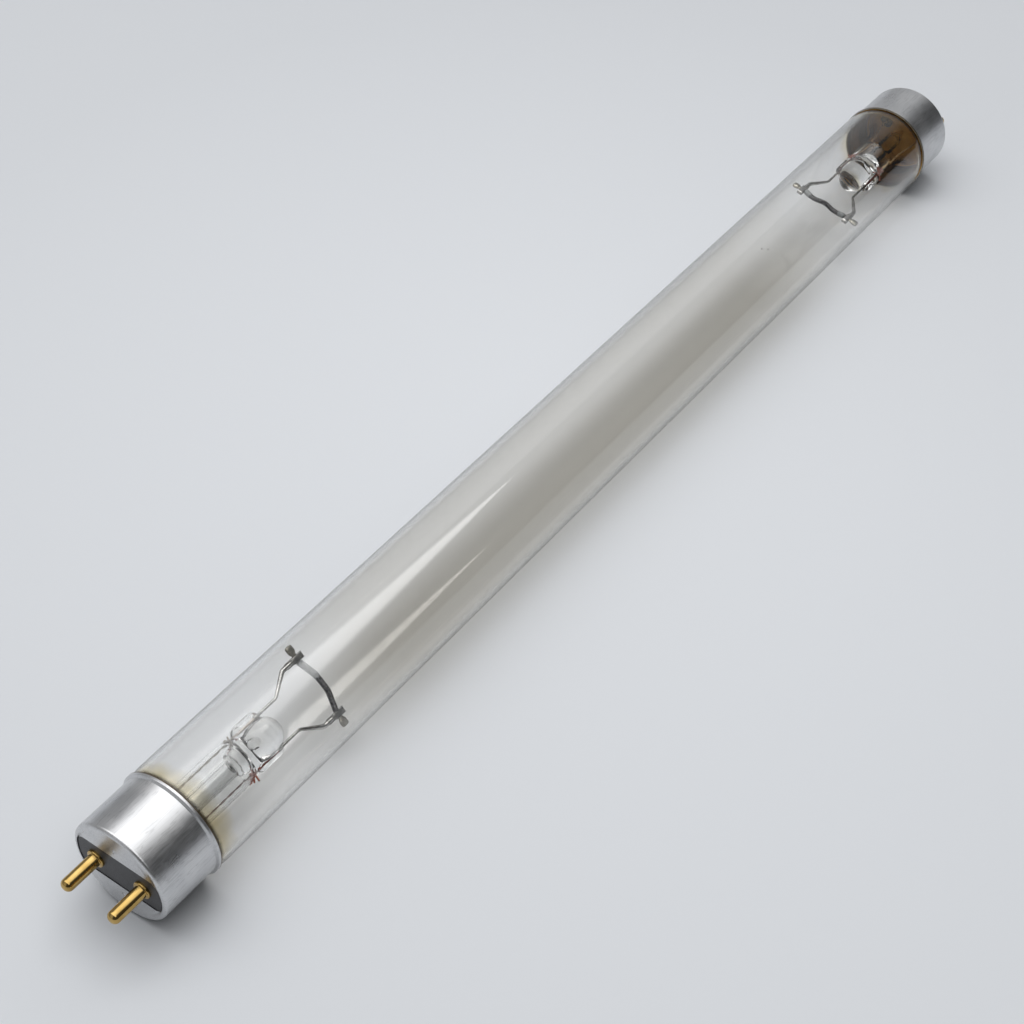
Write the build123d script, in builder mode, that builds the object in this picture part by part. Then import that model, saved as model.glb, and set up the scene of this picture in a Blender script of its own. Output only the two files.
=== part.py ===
from build123d import *
import os

os.makedirs("parts", exist_ok=True)

# A double-ended germicidal tube lamp with a two-pin cap at each end. It lies along X, with its
# centre at the origin. Depths are measured inward from the face of the cap at that end, and
# drops are measured back from the cathode towards that cap.

# Glass envelope
face_to_face = 331.0  # between the outer faces of the two caps
glass_diameter = 26.0
glass_wall = 1.0
seal_depth = 6.5  # end of the neck, sealed to the lip of the stem
shoulder_length = 3.0  # inside the cap, from the neck to the mouth of the cap
mouth_clearance = 0.1  # between the glass and the rim of the cap

# Cap shell
cap_length = 15.5
cap_wall = 0.4
cap_corner = 0.9
cap_step = 0.5  # the side of the cap lies this far below the glass
rim_step = 0.15  # the rim of the cap stands this far above the glass
rim_length = 0.8
rim_flare_length = 0.7
window_width = 9.0
window_corner = 1.6
window_ledge = 0.3  # of the insulator, behind the round ends of the window
stake_spacing = 14.0  # between the two dents that hold the insulator
stake_diameter = 1.4
stake_depth = 0.2

# Insulator
insulator_thickness = 1.4
insulator_fit = 0.05
insulator_recess = 0.15  # below the face of the cap

# Contact pins
pin_spacing = 12.7
pin_diameter = 3.0
pin_length = 9.0  # beyond the face of the cap
pin_tip_round = 1.2
pin_collar_diameter = 4.3
pin_collar_thickness = 0.6
pin_rivet_diameter = 3.9
pin_rivet_thickness = 0.5
pin_hole_length = 2.0  # for its lead, from the inner end

# Basing cement
cement_thickness = 0.6

# Stem: a flare, a round tube and the press that holds the wires
stem_diameter = 10.8
stem_wall = 0.8
flare_gap = 0.3  # between the flare and the neck of the envelope
flare_depth = 19.5  # the flare ends and the round tube begins
tube_drop = 27.5  # the round tube ends and the jaws begin to pinch it
cavity_drop = 22.6  # closed end of the hollow
shoulder_drop = 22.0  # end of the full shoulder around the exhaust tube
blade_drop = 19.5  # the shoulder has closed down to the blade
blade_thickness = 2.0
bead_drop = 15.0  # rounded tips of the beads around the wires
bead_diameter = 2.7
bulge_drop = 12.6  # rounded tip of the bulge in the middle of the press
bulge_wall = 1.55
vent_drop = 20.0  # the hole that joins the exhaust tube to the inside of the lamp
vent_diameter = 2.2

# Exhaust tube
exhaust_diameter = 4.4
exhaust_wall = 0.7
exhaust_gap = 0.2  # in the hollow of the press shoulder
exhaust_tip_depth = 4.5
exhaust_tip_length = 5.0
exhaust_tip_diameter = 1.0

# Wires
outer_lead_diameter = 0.4
outer_lead_clearance = 0.15  # inside the stem
outer_lead_bend = 2.0
outer_lead_turn_depth = 5.5  # leaves the line of its pin
outer_lead_entry_depth = 14.5  # joins the line of its seal wire
knot_drop = 23.6  # where the outer lead meets the seal wire
knot_diameter = 0.6
seal_wire_diameter = 0.4
weld_drop = 16.5  # where the seal wire meets the electrode lead
electrode_lead_diameter = 0.7
electrode_lead_spread = 15.2  # between the two folded ends
electrode_lead_bend = 1.6
lead_bend_in_drop = 9.3
lead_bend_out_drop = 4.2
lead_blade_width = 1.45
lead_blade_thickness = 0.45
lead_tip_reach = 2.0  # of the fold, beyond the cathode
lead_flap_drop = 1.3  # the folded flap ends here

# Cathode coils
coil_diameter = 1.2
coil_tail_diameter = 0.8
coil_tail_reach = 2.2  # beyond the folded lead
coil_lead_gap = 0.8  # between the coil and the folded lead
coil_bend = 2.0

# Each end: depth of the cathode, roll of the press about the lamp and sags of the coil
near_cathode_depth = 59.7
near_mount_roll = 45.0
near_coil_sags = [1.5, 1.4]
far_cathode_depth = 50.7
far_mount_roll = -14.0
far_coil_sags = [0.9, -0.3, 0.7]

# Mercury, as two drops that cling to the inside of the glass
drop_diameter = 0.5
drop_places = [(96.4, -42.3), (98.4, -48.9)]  # along the lamp, and round it from the side

# Sizes that follow from the above
glass_radius = glass_diameter / 2
cap_radius = glass_radius - cap_step
rim_radius = glass_radius + rim_step
neck_radius = cap_radius - cap_wall - cement_thickness
mouth_radius = rim_radius - cap_wall - mouth_clearance
shoulder_slope = (mouth_radius - neck_radius) / shoulder_length
glass_full_depth = cap_length + (glass_radius - mouth_radius) / shoulder_slope
neck_depth = cap_length - shoulder_length
rim_flare_depth = cap_length - rim_length - rim_flare_length
insulator_radius = cap_radius - cap_corner - insulator_fit
window_radius = insulator_radius - window_ledge
insulator_depth = cap_wall + insulator_thickness
pin_inner_depth = insulator_depth + pin_rivet_thickness
pin_hole_depth = pin_inner_depth - pin_hole_length
stem_radius = stem_diameter / 2
flare_radius = neck_radius - glass_wall - flare_gap
exhaust_bore = exhaust_diameter - 2 * exhaust_wall
bulge_diameter = exhaust_bore + 2 * bulge_wall
seal_wire_spacing = stem_diameter - 2 * stem_wall - outer_lead_diameter - 2 * outer_lead_clearance
hollow_thickness = exhaust_diameter + 2 * exhaust_gap
press_thickness = hollow_thickness + 2 * stem_wall
press_ribs = [
    (-seal_wire_spacing / 2, bead_diameter, bead_drop),
    (0, bulge_diameter, bulge_drop),
    (seal_wire_spacing / 2, bead_diameter, bead_drop),
]
coil_offset = (lead_blade_thickness + coil_tail_diameter) / 2
flap_offset = 2 * coil_offset + lead_blade_thickness / 2

near_face = Plane(origin=(-face_to_face / 2, 0, 0), x_dir=(0, 1, 0), z_dir=(1, 0, 0))
far_face = Plane(origin=(face_to_face / 2, 0, 0), x_dir=(0, -1, 0), z_dir=(-1, 0, 0))
ends = [
    ("near", near_face, near_cathode_depth, near_mount_roll, near_coil_sags),
    ("far", far_face, far_cathode_depth, far_mount_roll, far_coil_sags),
]
sides = [("a", 1), ("b", -1)]


def half_section(plane):
    # Sketch plane through the axis: first the distance from the axis, then the depth
    return Plane(origin=plane.origin, x_dir=plane.x_dir, z_dir=-plane.y_dir)


def lamp_axis(plane):
    return Axis(plane.origin, plane.z_dir)


def rolled(plane, angle):
    # The same plane, turned about its own normal
    turned = plane.x_dir.rotate(Axis((0, 0, 0), plane.z_dir), angle)
    return Plane(origin=plane.origin, x_dir=turned, z_dir=plane.z_dir)


def glass_shoulder():
    # Neck, and the two arcs of the shoulder, which meet at the mouth of the cap
    neck = Line((neck_radius, seal_depth), (neck_radius, neck_depth))
    inner_arc = TangentArc(neck @ 1, (mouth_radius, cap_length), tangent=neck % 1)
    return TangentArc(inner_arc @ 1, (glass_radius, glass_full_depth), tangent=inner_arc % 1)


def cap_outline(inset):
    # Half section of the cap, filled to the axis, with its skin this far inside the outer one
    side = FilletPolyline(
        (0, inset),
        (cap_radius - inset, inset),
        (cap_radius - inset, rim_flare_depth),
        radius=cap_corner - inset,
    )
    Polyline(
        side @ 1,
        (rim_radius - inset, cap_length - rim_length),
        (rim_radius - inset, cap_length),
        (0, cap_length),
        side @ 0,
    )


def pinched_rod(plane, radius, outline):
    # A round rod that two jaws have pinched, from half thicknesses and their depths
    opposite = [(-half_thickness, depth) for half_thickness, depth in reversed(outline)]
    with BuildPart() as rod:
        with BuildSketch(Plane(plane.origin, x_dir=plane.y_dir, z_dir=plane.x_dir)):
            with BuildLine():
                Polyline(*outline, *opposite, close=True)
            make_face()
        extrude(amount=2 * radius, both=True)
        with BuildSketch(plane):
            Circle(radius)
        extrude(amount=2 * outline[-1][1], mode=Mode.INTERSECT)
    return rod.part


def window_outline(clearance):
    Circle(window_radius - clearance)
    Rectangle(2 * window_radius, window_width - 2 * clearance, mode=Mode.INTERSECT)


def write(piece, name):
    piece.part.label = name
    export_step(piece.part, f"parts/{name}.step")


# Glass envelope
with BuildPart() as glass_tube:
    with BuildSketch(half_section(near_face)):
        with BuildLine():
            shoulder = glass_shoulder()
            Line(shoulder @ 1, (glass_radius, face_to_face / 2))
            offset(amount=glass_wall, side=Side.LEFT, kind=Kind.INTERSECTION)
        make_face()
    revolve(axis=Axis.X)
    mirror(about=Plane.YZ)
write(glass_tube, "glass_tube")

for end, face, cathode_depth, mount_roll, coil_sags in ends:
    section = half_section(face)
    axis = lamp_axis(face)
    mount = rolled(face, mount_roll)
    mount_section = half_section(mount)
    tube_depth = cathode_depth - tube_drop
    cavity_depth = cathode_depth - cavity_drop
    shoulder_depth = cathode_depth - shoulder_drop
    weld_depth = cathode_depth - weld_drop
    knot_depth = cathode_depth - knot_drop

    # Cap shell
    with BuildPart() as cap_shell:
        with BuildSketch(section):
            for inset, mode in ((0, Mode.ADD), (cap_wall, Mode.SUBTRACT)):
                with BuildLine():
                    cap_outline(inset)
                make_face(mode=mode)
        revolve(axis=axis)
        with BuildSketch(face) as window:
            window_outline(0)
            fillet(window.vertices(), window_corner)
        extrude(amount=cap_wall, mode=Mode.SUBTRACT)
        with BuildSketch(face):
            with GridLocations(0, stake_spacing, 1, 2):
                Circle(stake_diameter / 2)
        extrude(amount=stake_depth, taper=30, mode=Mode.SUBTRACT)
    write(cap_shell, f"{end}_cap_shell")

    # Insulator
    with BuildPart() as insulator:
        with BuildSketch(face.offset(cap_wall)):
            Circle(insulator_radius)
        extrude(amount=insulator_thickness)
        with BuildSketch(face.offset(insulator_recess)) as raised:
            window_outline(insulator_fit)
            fillet(raised.vertices(), window_corner - insulator_fit)
        extrude(amount=cap_wall - insulator_recess)
        with BuildSketch(face):
            with GridLocations(pin_spacing, 0, 2, 1):
                Circle(pin_diameter / 2)
        extrude(amount=insulator_depth, mode=Mode.SUBTRACT)
    write(insulator, f"{end}_cap_insulator")

    # Basing cement
    with BuildPart() as cement:
        with BuildSketch(section):
            with BuildLine():
                Polyline(
                    (neck_radius, seal_depth),
                    (neck_radius + cement_thickness, seal_depth),
                    (neck_radius + cement_thickness, rim_flare_depth),
                    (neck_radius, rim_flare_depth),
                    close=True,
                )
            make_face()
            with BuildLine():
                shoulder = glass_shoulder()
                Polyline(
                    shoulder @ 1,
                    (0, glass_full_depth),
                    (0, seal_depth),
                    (neck_radius, seal_depth),
                )
            make_face(mode=Mode.SUBTRACT)
        revolve(axis=axis)
    write(cement, f"{end}_basing_cement")

    # Stem: the pinched press with its beads and its bulge, and the revolved tube and flare
    press = pinched_rod(
        mount,
        stem_radius,
        [
            (stem_radius + stem_wall, tube_depth),
            (press_thickness / 2, shoulder_depth),
            (blade_thickness / 2, cathode_depth - blade_drop),
            (blade_thickness / 2, cathode_depth - bead_drop - bead_diameter / 2),
        ],
    )
    hollow = pinched_rod(
        mount,
        stem_radius - stem_wall,
        [(stem_radius, tube_depth), (hollow_thickness / 2, cavity_depth)],
    )
    with BuildPart() as stem:
        add(press)
        add(hollow, mode=Mode.SUBTRACT)
        for place, width, tip_drop in press_ribs:
            with BuildSketch(mount_section):
                with BuildLine():
                    rib = Line((place, shoulder_depth), (place, cathode_depth - tip_drop))
                    dome = JernArc(rib @ 1, (1, 0), width / 2, -90)
                    Line(dome @ 1, (place + width / 2, shoulder_depth))
                    Line((place + width / 2, shoulder_depth), rib @ 0)
                make_face()
            revolve(axis=Axis(mount_section.from_local_coords((place, 0)), mount.z_dir))
        with BuildSketch(section):
            with BuildLine():
                tube = Line((stem_radius, tube_depth), (stem_radius, flare_depth))
                flare = TangentArc(tube @ 1, (flare_radius, seal_depth), tangent=tube % 1)
                Line(flare @ 1, (neck_radius, seal_depth))
                offset(amount=stem_wall, side=Side.RIGHT, kind=Kind.INTERSECTION)
            make_face()
        revolve(axis=axis)
        with BuildSketch(mount.offset(cavity_depth)):
            Circle(exhaust_bore / 2)
        extrude(amount=cavity_drop - vent_drop + vent_diameter / 2, mode=Mode.SUBTRACT)
        with BuildSketch(Plane(mount.offset(cathode_depth - vent_drop).origin, mount.x_dir, mount.y_dir)):
            Circle(vent_diameter / 2)
        extrude(amount=press_thickness, mode=Mode.SUBTRACT)
        with BuildSketch(mount.offset(cavity_depth)):
            with GridLocations(seal_wire_spacing, 0, 2, 1):
                Circle(seal_wire_diameter / 2)
        extrude(amount=cavity_drop - bead_drop, mode=Mode.SUBTRACT)
        with BuildSketch(mount.offset(weld_depth)):
            with GridLocations(seal_wire_spacing, 0, 2, 1):
                Circle(electrode_lead_diameter / 2)
        extrude(amount=weld_drop - bead_drop, mode=Mode.SUBTRACT)
    write(stem, f"{end}_stem")

    # Exhaust tube, drawn to a point where it was sealed off
    with BuildPart() as exhaust_tube:
        with BuildSketch(section):
            with BuildLine():
                outside = Polyline(
                    (0, exhaust_tip_depth),
                    (exhaust_tip_diameter / 2, exhaust_tip_depth),
                    (exhaust_diameter / 2, exhaust_tip_depth + exhaust_tip_length),
                    (exhaust_diameter / 2, cavity_depth),
                )
                Line(outside @ 1, (exhaust_bore / 2, cavity_depth))
                inside = Line(
                    (exhaust_bore / 2, cavity_depth),
                    (exhaust_bore / 2, exhaust_tip_depth + exhaust_tip_length),
                )
                dome = RadiusArc(
                    inside @ 1,
                    (0, exhaust_tip_depth + exhaust_tip_length - exhaust_bore / 2),
                    exhaust_bore / 2,
                )
                Line(dome @ 1, outside @ 0)
            make_face()
        revolve(axis=axis)
    write(exhaust_tube, f"{end}_exhaust_tube")

    # Cathode: the coil as a swept rod, between two straight tails
    coil_end = electrode_lead_spread / 2 - lead_blade_width / 2 - coil_lead_gap
    tail_end = electrode_lead_spread / 2 + lead_blade_width / 2 + coil_tail_reach
    coil_plane = Plane(
        origin=mount.origin + mount.y_dir * coil_offset, x_dir=mount.x_dir, z_dir=-mount.y_dir
    )
    coil_steps = len(coil_sags) + 1
    coil_points = [(-coil_end, cathode_depth)]
    for step, sag in enumerate(coil_sags, start=1):
        coil_points.append((coil_end * (2 * step / coil_steps - 1), cathode_depth + sag))
    coil_points.append((coil_end, cathode_depth))
    with BuildPart() as cathode:
        with BuildLine(coil_plane) as coil_path:
            FilletPolyline(*coil_points, radius=coil_bend)
        with BuildSketch(Plane(coil_path.line @ 0, z_dir=coil_path.line % 0)):
            Circle(coil_diameter / 2)
        sweep()
        for direction in (1, -1):
            with BuildLine(coil_plane) as tail_path:
                Line((direction * coil_end, cathode_depth), (direction * tail_end, cathode_depth))
            with BuildSketch(Plane(tail_path.line @ 0, z_dir=tail_path.line % 0)):
                Circle(coil_tail_diameter / 2)
            sweep(path=tail_path.line)
    write(cathode, f"{end}_cathode")

    for side, direction in sides:
        wire_place = direction * seal_wire_spacing / 2
        pin_place = direction * pin_spacing / 2
        fold_place = direction * electrode_lead_spread / 2

        # Contact pin, riveted over the insulator, with a hole for its lead
        pin_plane = Plane(
            origin=face.origin + face.x_dir * pin_place, x_dir=face.x_dir, z_dir=face.z_dir
        )
        with BuildPart() as pin:
            with BuildSketch(half_section(pin_plane)):
                with BuildLine():
                    Polyline(
                        (pin_diameter / 2 - pin_tip_round, -pin_length),
                        (0, -pin_length),
                        (0, pin_hole_depth),
                        (outer_lead_diameter / 2, pin_hole_depth),
                        (outer_lead_diameter / 2, pin_inner_depth),
                        (pin_rivet_diameter / 2, pin_inner_depth),
                        (pin_rivet_diameter / 2, insulator_depth),
                        (pin_diameter / 2, insulator_depth),
                        (pin_diameter / 2, insulator_recess),
                        (pin_collar_diameter / 2, insulator_recess),
                        (pin_collar_diameter / 2, insulator_recess - pin_collar_thickness),
                        (pin_diameter / 2, insulator_recess - pin_collar_thickness),
                        (pin_diameter / 2, pin_tip_round - pin_length),
                    )
                    RadiusArc(
                        (pin_diameter / 2, pin_tip_round - pin_length),
                        (pin_diameter / 2 - pin_tip_round, -pin_length),
                        pin_tip_round,
                    )
                make_face()
            revolve(axis=lamp_axis(pin_plane))
        write(pin, f"{end}_pin_{side}")

        # Outer lead, from the hole in its pin to the knot at the press
        pin_spot = face.from_local_coords((pin_place, 0, 0))
        wire_spot = mount.from_local_coords((wire_place, 0, 0))
        with BuildPart() as outer_lead:
            with BuildLine() as outer_path:
                FilletPolyline(
                    pin_spot + face.z_dir * pin_hole_depth,
                    pin_spot + face.z_dir * outer_lead_turn_depth,
                    wire_spot + face.z_dir * outer_lead_entry_depth,
                    wire_spot + face.z_dir * knot_depth,
                    radius=outer_lead_bend,
                )
            with BuildSketch(Plane(outer_path.line @ 0, z_dir=outer_path.line % 0)):
                Circle(outer_lead_diameter / 2)
            sweep()
            knot_spot = wire_spot + face.z_dir * (knot_depth - knot_diameter / 2)
            with Locations(Plane(origin=knot_spot, x_dir=mount.x_dir, z_dir=mount.z_dir)):
                Sphere(knot_diameter / 2)
        write(outer_lead, f"{end}_outer_lead_{side}")

        # Seal wire, through the press
        with BuildPart() as seal_wire:
            with BuildSketch(mount.offset(knot_depth)):
                with Locations((wire_place, 0)):
                    Circle(seal_wire_diameter / 2)
            extrude(amount=knot_drop - weld_drop)
        write(seal_wire, f"{end}_seal_wire_{side}")

        # Electrode lead: bent wire, with a flattened end folded over the tail of the cathode
        fold_plane = Plane(
            origin=mount.origin + mount.x_dir * fold_place, x_dir=mount.y_dir, z_dir=mount.x_dir
        )
        fold_depth = cathode_depth + lead_tip_reach
        with BuildPart() as electrode_lead:
            with BuildLine(mount_section) as lead_path:
                FilletPolyline(
                    (wire_place, weld_depth),
                    (wire_place, cathode_depth - lead_bend_in_drop),
                    (fold_place, cathode_depth - lead_bend_out_drop),
                    (fold_place, cathode_depth - lead_flap_drop),
                    radius=electrode_lead_bend,
                )
            with BuildSketch(Plane(lead_path.line @ 0, z_dir=lead_path.line % 0)):
                Circle(electrode_lead_diameter / 2)
            sweep()
            with BuildSketch(fold_plane):
                with BuildLine():
                    back = Line(
                        (-lead_blade_thickness / 2, cathode_depth - lead_bend_out_drop),
                        (-lead_blade_thickness / 2, fold_depth),
                    )
                    fold = TangentArc(
                        back @ 1,
                        (flap_offset, fold_depth),
                        tangent=back % 1,
                    )
                    Line(fold @ 1, (flap_offset, cathode_depth - lead_flap_drop))
                    offset(amount=lead_blade_thickness, side=Side.RIGHT)
                make_face()
            extrude(amount=lead_blade_width / 2, both=True)
        write(electrode_lead, f"{end}_electrode_lead_{side}")

# Mercury drops
with BuildPart() as mercury:
    for place, angle in drop_places:
        wall = Plane(origin=(place, 0, 0), x_dir=(0, 1, 0), z_dir=(1, 0, 0))
        seat = rolled(wall, angle)
        with Locations(seat.from_local_coords((glass_radius - glass_wall - drop_diameter / 2, 0, 0))):
            Sphere(drop_diameter / 2)
write(mercury, "mercury_drops")
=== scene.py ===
import math
import random

import bmesh
import bpy
from mathutils import Matrix, Vector


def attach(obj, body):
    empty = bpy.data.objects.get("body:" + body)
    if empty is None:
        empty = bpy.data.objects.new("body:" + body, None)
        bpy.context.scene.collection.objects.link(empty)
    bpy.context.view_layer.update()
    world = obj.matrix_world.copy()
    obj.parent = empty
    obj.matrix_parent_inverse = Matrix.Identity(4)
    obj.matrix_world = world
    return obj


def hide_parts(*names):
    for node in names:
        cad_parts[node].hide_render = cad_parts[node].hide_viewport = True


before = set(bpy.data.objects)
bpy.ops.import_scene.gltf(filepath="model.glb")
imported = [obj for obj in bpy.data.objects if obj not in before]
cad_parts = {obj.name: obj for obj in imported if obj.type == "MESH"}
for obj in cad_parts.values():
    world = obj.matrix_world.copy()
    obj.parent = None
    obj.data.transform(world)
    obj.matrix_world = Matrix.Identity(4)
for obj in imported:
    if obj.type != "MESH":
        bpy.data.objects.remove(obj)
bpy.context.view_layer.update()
scene = bpy.context.scene
mm = 0.001

# Each end has its own space in millimetres: u across the press, w out of its broad face,
# and depth inward from the cap. A drop is measured back from the cathode towards that cap.
lampEnds = {
    "near": {"side": -1, "roll": 45.0, "cathodeDepth": 59.7, "sags": [1.5, 1.4]},
    "far": {"side": 1, "roll": -14.0, "cathodeDepth": 50.7, "sags": [0.9, -0.3, 0.7]},
}
lampLength = 331.0


def endSpace(end, roll=0.0):
    side = lampEnds[end]["side"]
    inward = Vector((-side, 0, 0))
    across = Matrix.Rotation(math.radians(roll), 3, inward) @ Vector((0, -side, 0))
    out = inward.cross(across)
    space = Matrix((across, out, inward)).transposed().to_4x4()
    space.translation = Vector((side * lampLength / 2, 0, 0))
    return Matrix.Scale(mm, 4) @ space


def mountSpace(end):
    return endSpace(end, lampEnds[end]["roll"])


# Mesh helpers

def profileSpin(points, steps, closed=True):
    bm = bmesh.new()
    verts = [bm.verts.new((r, 0, depth)) for r, depth in points]
    for a, b in zip(verts, verts[1:] + verts[:1] if closed else verts[1:]):
        bm.edges.new((a, b))
    bmesh.ops.spin(bm, geom=bm.verts[:] + bm.edges[:], cent=(0, 0, 0), axis=(0, 0, 1), dvec=(0, 0, 0),
                   angle=2 * math.pi, steps=steps, use_merge=True, use_duplicate=False)
    bmesh.ops.remove_doubles(bm, verts=bm.verts[:], dist=1e-4)
    bmesh.ops.recalc_face_normals(bm, faces=bm.faces[:])
    return bm


def ringEdges(bm, r, depth):
    def onRing(v):
        return abs(v.co.xy.length - r) < 1e-3 and abs(v.co.z - depth) < 1e-3
    return [e for e in bm.edges if all(onRing(v) for v in e.verts)]


def roundRing(bm, r, depth, width, segments=4):
    bmesh.ops.bevel(bm, geom=ringEdges(bm, r, depth), offset=width, offset_type="OFFSET", affect="EDGES",
                    segments=segments, profile=0.5, material=-1, clamp_overlap=True)


def joinInto(bm, other):
    part = bpy.data.meshes.new("part")
    other.to_mesh(part)
    other.free()
    bm.from_mesh(part)
    bpy.data.meshes.remove(part)


def meshToObject(name, bm):
    mesh = bpy.data.meshes.new(name)
    bm.to_mesh(mesh)
    bm.free()
    piece = bpy.data.objects.new(name, mesh)
    scene.collection.objects.link(piece)
    return piece


def applyModifiers(piece):
    graph = bpy.context.evaluated_depsgraph_get()
    mesh = bpy.data.meshes.new_from_object(piece.evaluated_get(graph))
    piece.modifiers.clear()
    old, piece.data = piece.data, mesh
    bpy.data.meshes.remove(old)


def putPiece(name, bm, space, material, cadNodes=(), sharpAngle=35.0):
    bmesh.ops.transform(bm, matrix=space, verts=bm.verts[:])
    dressPiece(meshToObject(name, bm), material, cadNodes, sharpAngle)


def dressPiece(piece, material, cadNodes=(), sharpAngle=35.0):
    for polygon in piece.data.polygons:
        polygon.use_smooth = True
    piece.data.set_sharp_from_angle(angle=math.radians(sharpAngle))
    if not piece.data.materials:
        for item in material if isinstance(material, list) else [material]:
            piece.data.materials.append(item)
    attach(piece, "root")
    if cadNodes:
        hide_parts(*cadNodes)


def wireMesh(points, radius, sides=4, swell=None):
    curve = bpy.data.curves.new("wire", "CURVE")
    curve.dimensions = "3D"
    curve.bevel_depth = radius
    curve.bevel_resolution = sides
    curve.use_fill_caps = True
    curve.resolution_u = 6
    spline = curve.splines.new("NURBS")
    spline.points.add(len(points) - 1)
    for spot, place, share in zip(spline.points, points, swell or [1.0] * len(points)):
        spot.co = (*place, 1)
        spot.radius = share
    spline.order_u = 3
    spline.use_endpoint_u = True
    holder = bpy.data.objects.new("wire", curve)
    scene.collection.objects.link(holder)
    graph = bpy.context.evaluated_depsgraph_get()
    mesh = bpy.data.meshes.new_from_object(holder.evaluated_get(graph))
    bm = bmesh.new()
    bm.from_mesh(mesh)
    bmesh.ops.remove_doubles(bm, verts=bm.verts[:], dist=1e-4)
    bmesh.ops.recalc_face_normals(bm, faces=bm.faces[:])
    bpy.data.objects.remove(holder)
    bpy.data.curves.remove(curve)
    bpy.data.meshes.remove(mesh)
    return bm


def bentPath(corners, reach):
    # Extra points beside each corner keep the bend as tight as the reach
    corners = [Vector(c) for c in corners]
    path = [corners[0]]
    for before, corner, after in zip(corners, corners[1:], corners[2:]):
        path.append(corner + (before - corner).normalized() * reach)
        path.append(corner)
        path.append(corner + (after - corner).normalized() * reach)
    path.append(corners[-1])
    return path


def routeLength(route):
    return sum((b - a).length for a, b in zip(route, route[1:]))


def alongRoute(route, share):
    run = share * routeLength(route)
    for a, b in zip(route, route[1:]):
        length = (b - a).length
        if run <= length + 1e-6:
            return a.lerp(b, min(run / length, 1))
        run -= length
    return route[-1]


# Shader groups and materials

def newGroup(name, inputs, outputs):
    group = bpy.data.node_groups.new(name, "ShaderNodeTree")
    for label, kind, value in inputs:
        socket = group.interface.new_socket(name=label, in_out="INPUT", socket_type=kind)
        if value is not None:
            socket.default_value = value
    for label, kind in outputs:
        group.interface.new_socket(name=label, in_out="OUTPUT", socket_type=kind)
    return group, group.nodes.new("NodeGroupInput"), group.nodes.new("NodeGroupOutput")


def mottleGroup():
    # Cloudy patches and fine grain, both as values around 0.5
    group, given, result = newGroup(
        "mottle",
        [("Vector", "NodeSocketVector", None), ("Patch Scale", "NodeSocketFloat", 200.0),
         ("Grain Scale", "NodeSocketFloat", 3000.0)],
        [("Patches", "NodeSocketFloat"), ("Grain", "NodeSocketFloat")])
    links = group.links
    for label, scaleName, detail in (("Patches", "Patch Scale", 4.0), ("Grain", "Grain Scale", 2.0)):
        noise = group.nodes.new("ShaderNodeTexNoise")
        noise.inputs["Detail"].default_value = detail
        links.new(given.outputs["Vector"], noise.inputs["Vector"])
        links.new(given.outputs[scaleName], noise.inputs["Scale"])
        links.new(noise.outputs["Fac"], result.inputs[label])
    return group


def scratchGroup():
    # Hairline scratches: thin bands where stretched noise crosses its middle value
    group, given, result = newGroup(
        "hairlines",
        [("Vector", "NodeSocketVector", None), ("Stretch", "NodeSocketVector", (1, 1, 1)),
         ("Scale", "NodeSocketFloat", 800.0), ("Width", "NodeSocketFloat", 0.02)],
        [("Lines", "NodeSocketFloat")])
    links = group.links
    stretch = group.nodes.new("ShaderNodeVectorMath")
    stretch.operation = "MULTIPLY"
    links.new(given.outputs["Vector"], stretch.inputs[0])
    links.new(given.outputs["Stretch"], stretch.inputs[1])
    noise = group.nodes.new("ShaderNodeTexNoise")
    noise.inputs["Detail"].default_value = 1.0
    links.new(stretch.outputs[0], noise.inputs["Vector"])
    links.new(given.outputs["Scale"], noise.inputs["Scale"])
    middle = group.nodes.new("ShaderNodeMath")
    middle.operation = "COMPARE"
    middle.inputs[1].default_value = 0.5
    links.new(noise.outputs["Fac"], middle.inputs[0])
    links.new(given.outputs["Width"], middle.inputs[2])
    links.new(middle.outputs[0], result.inputs["Lines"])
    return group


mottle = mottleGroup()
hairlines = scratchGroup()


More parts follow.
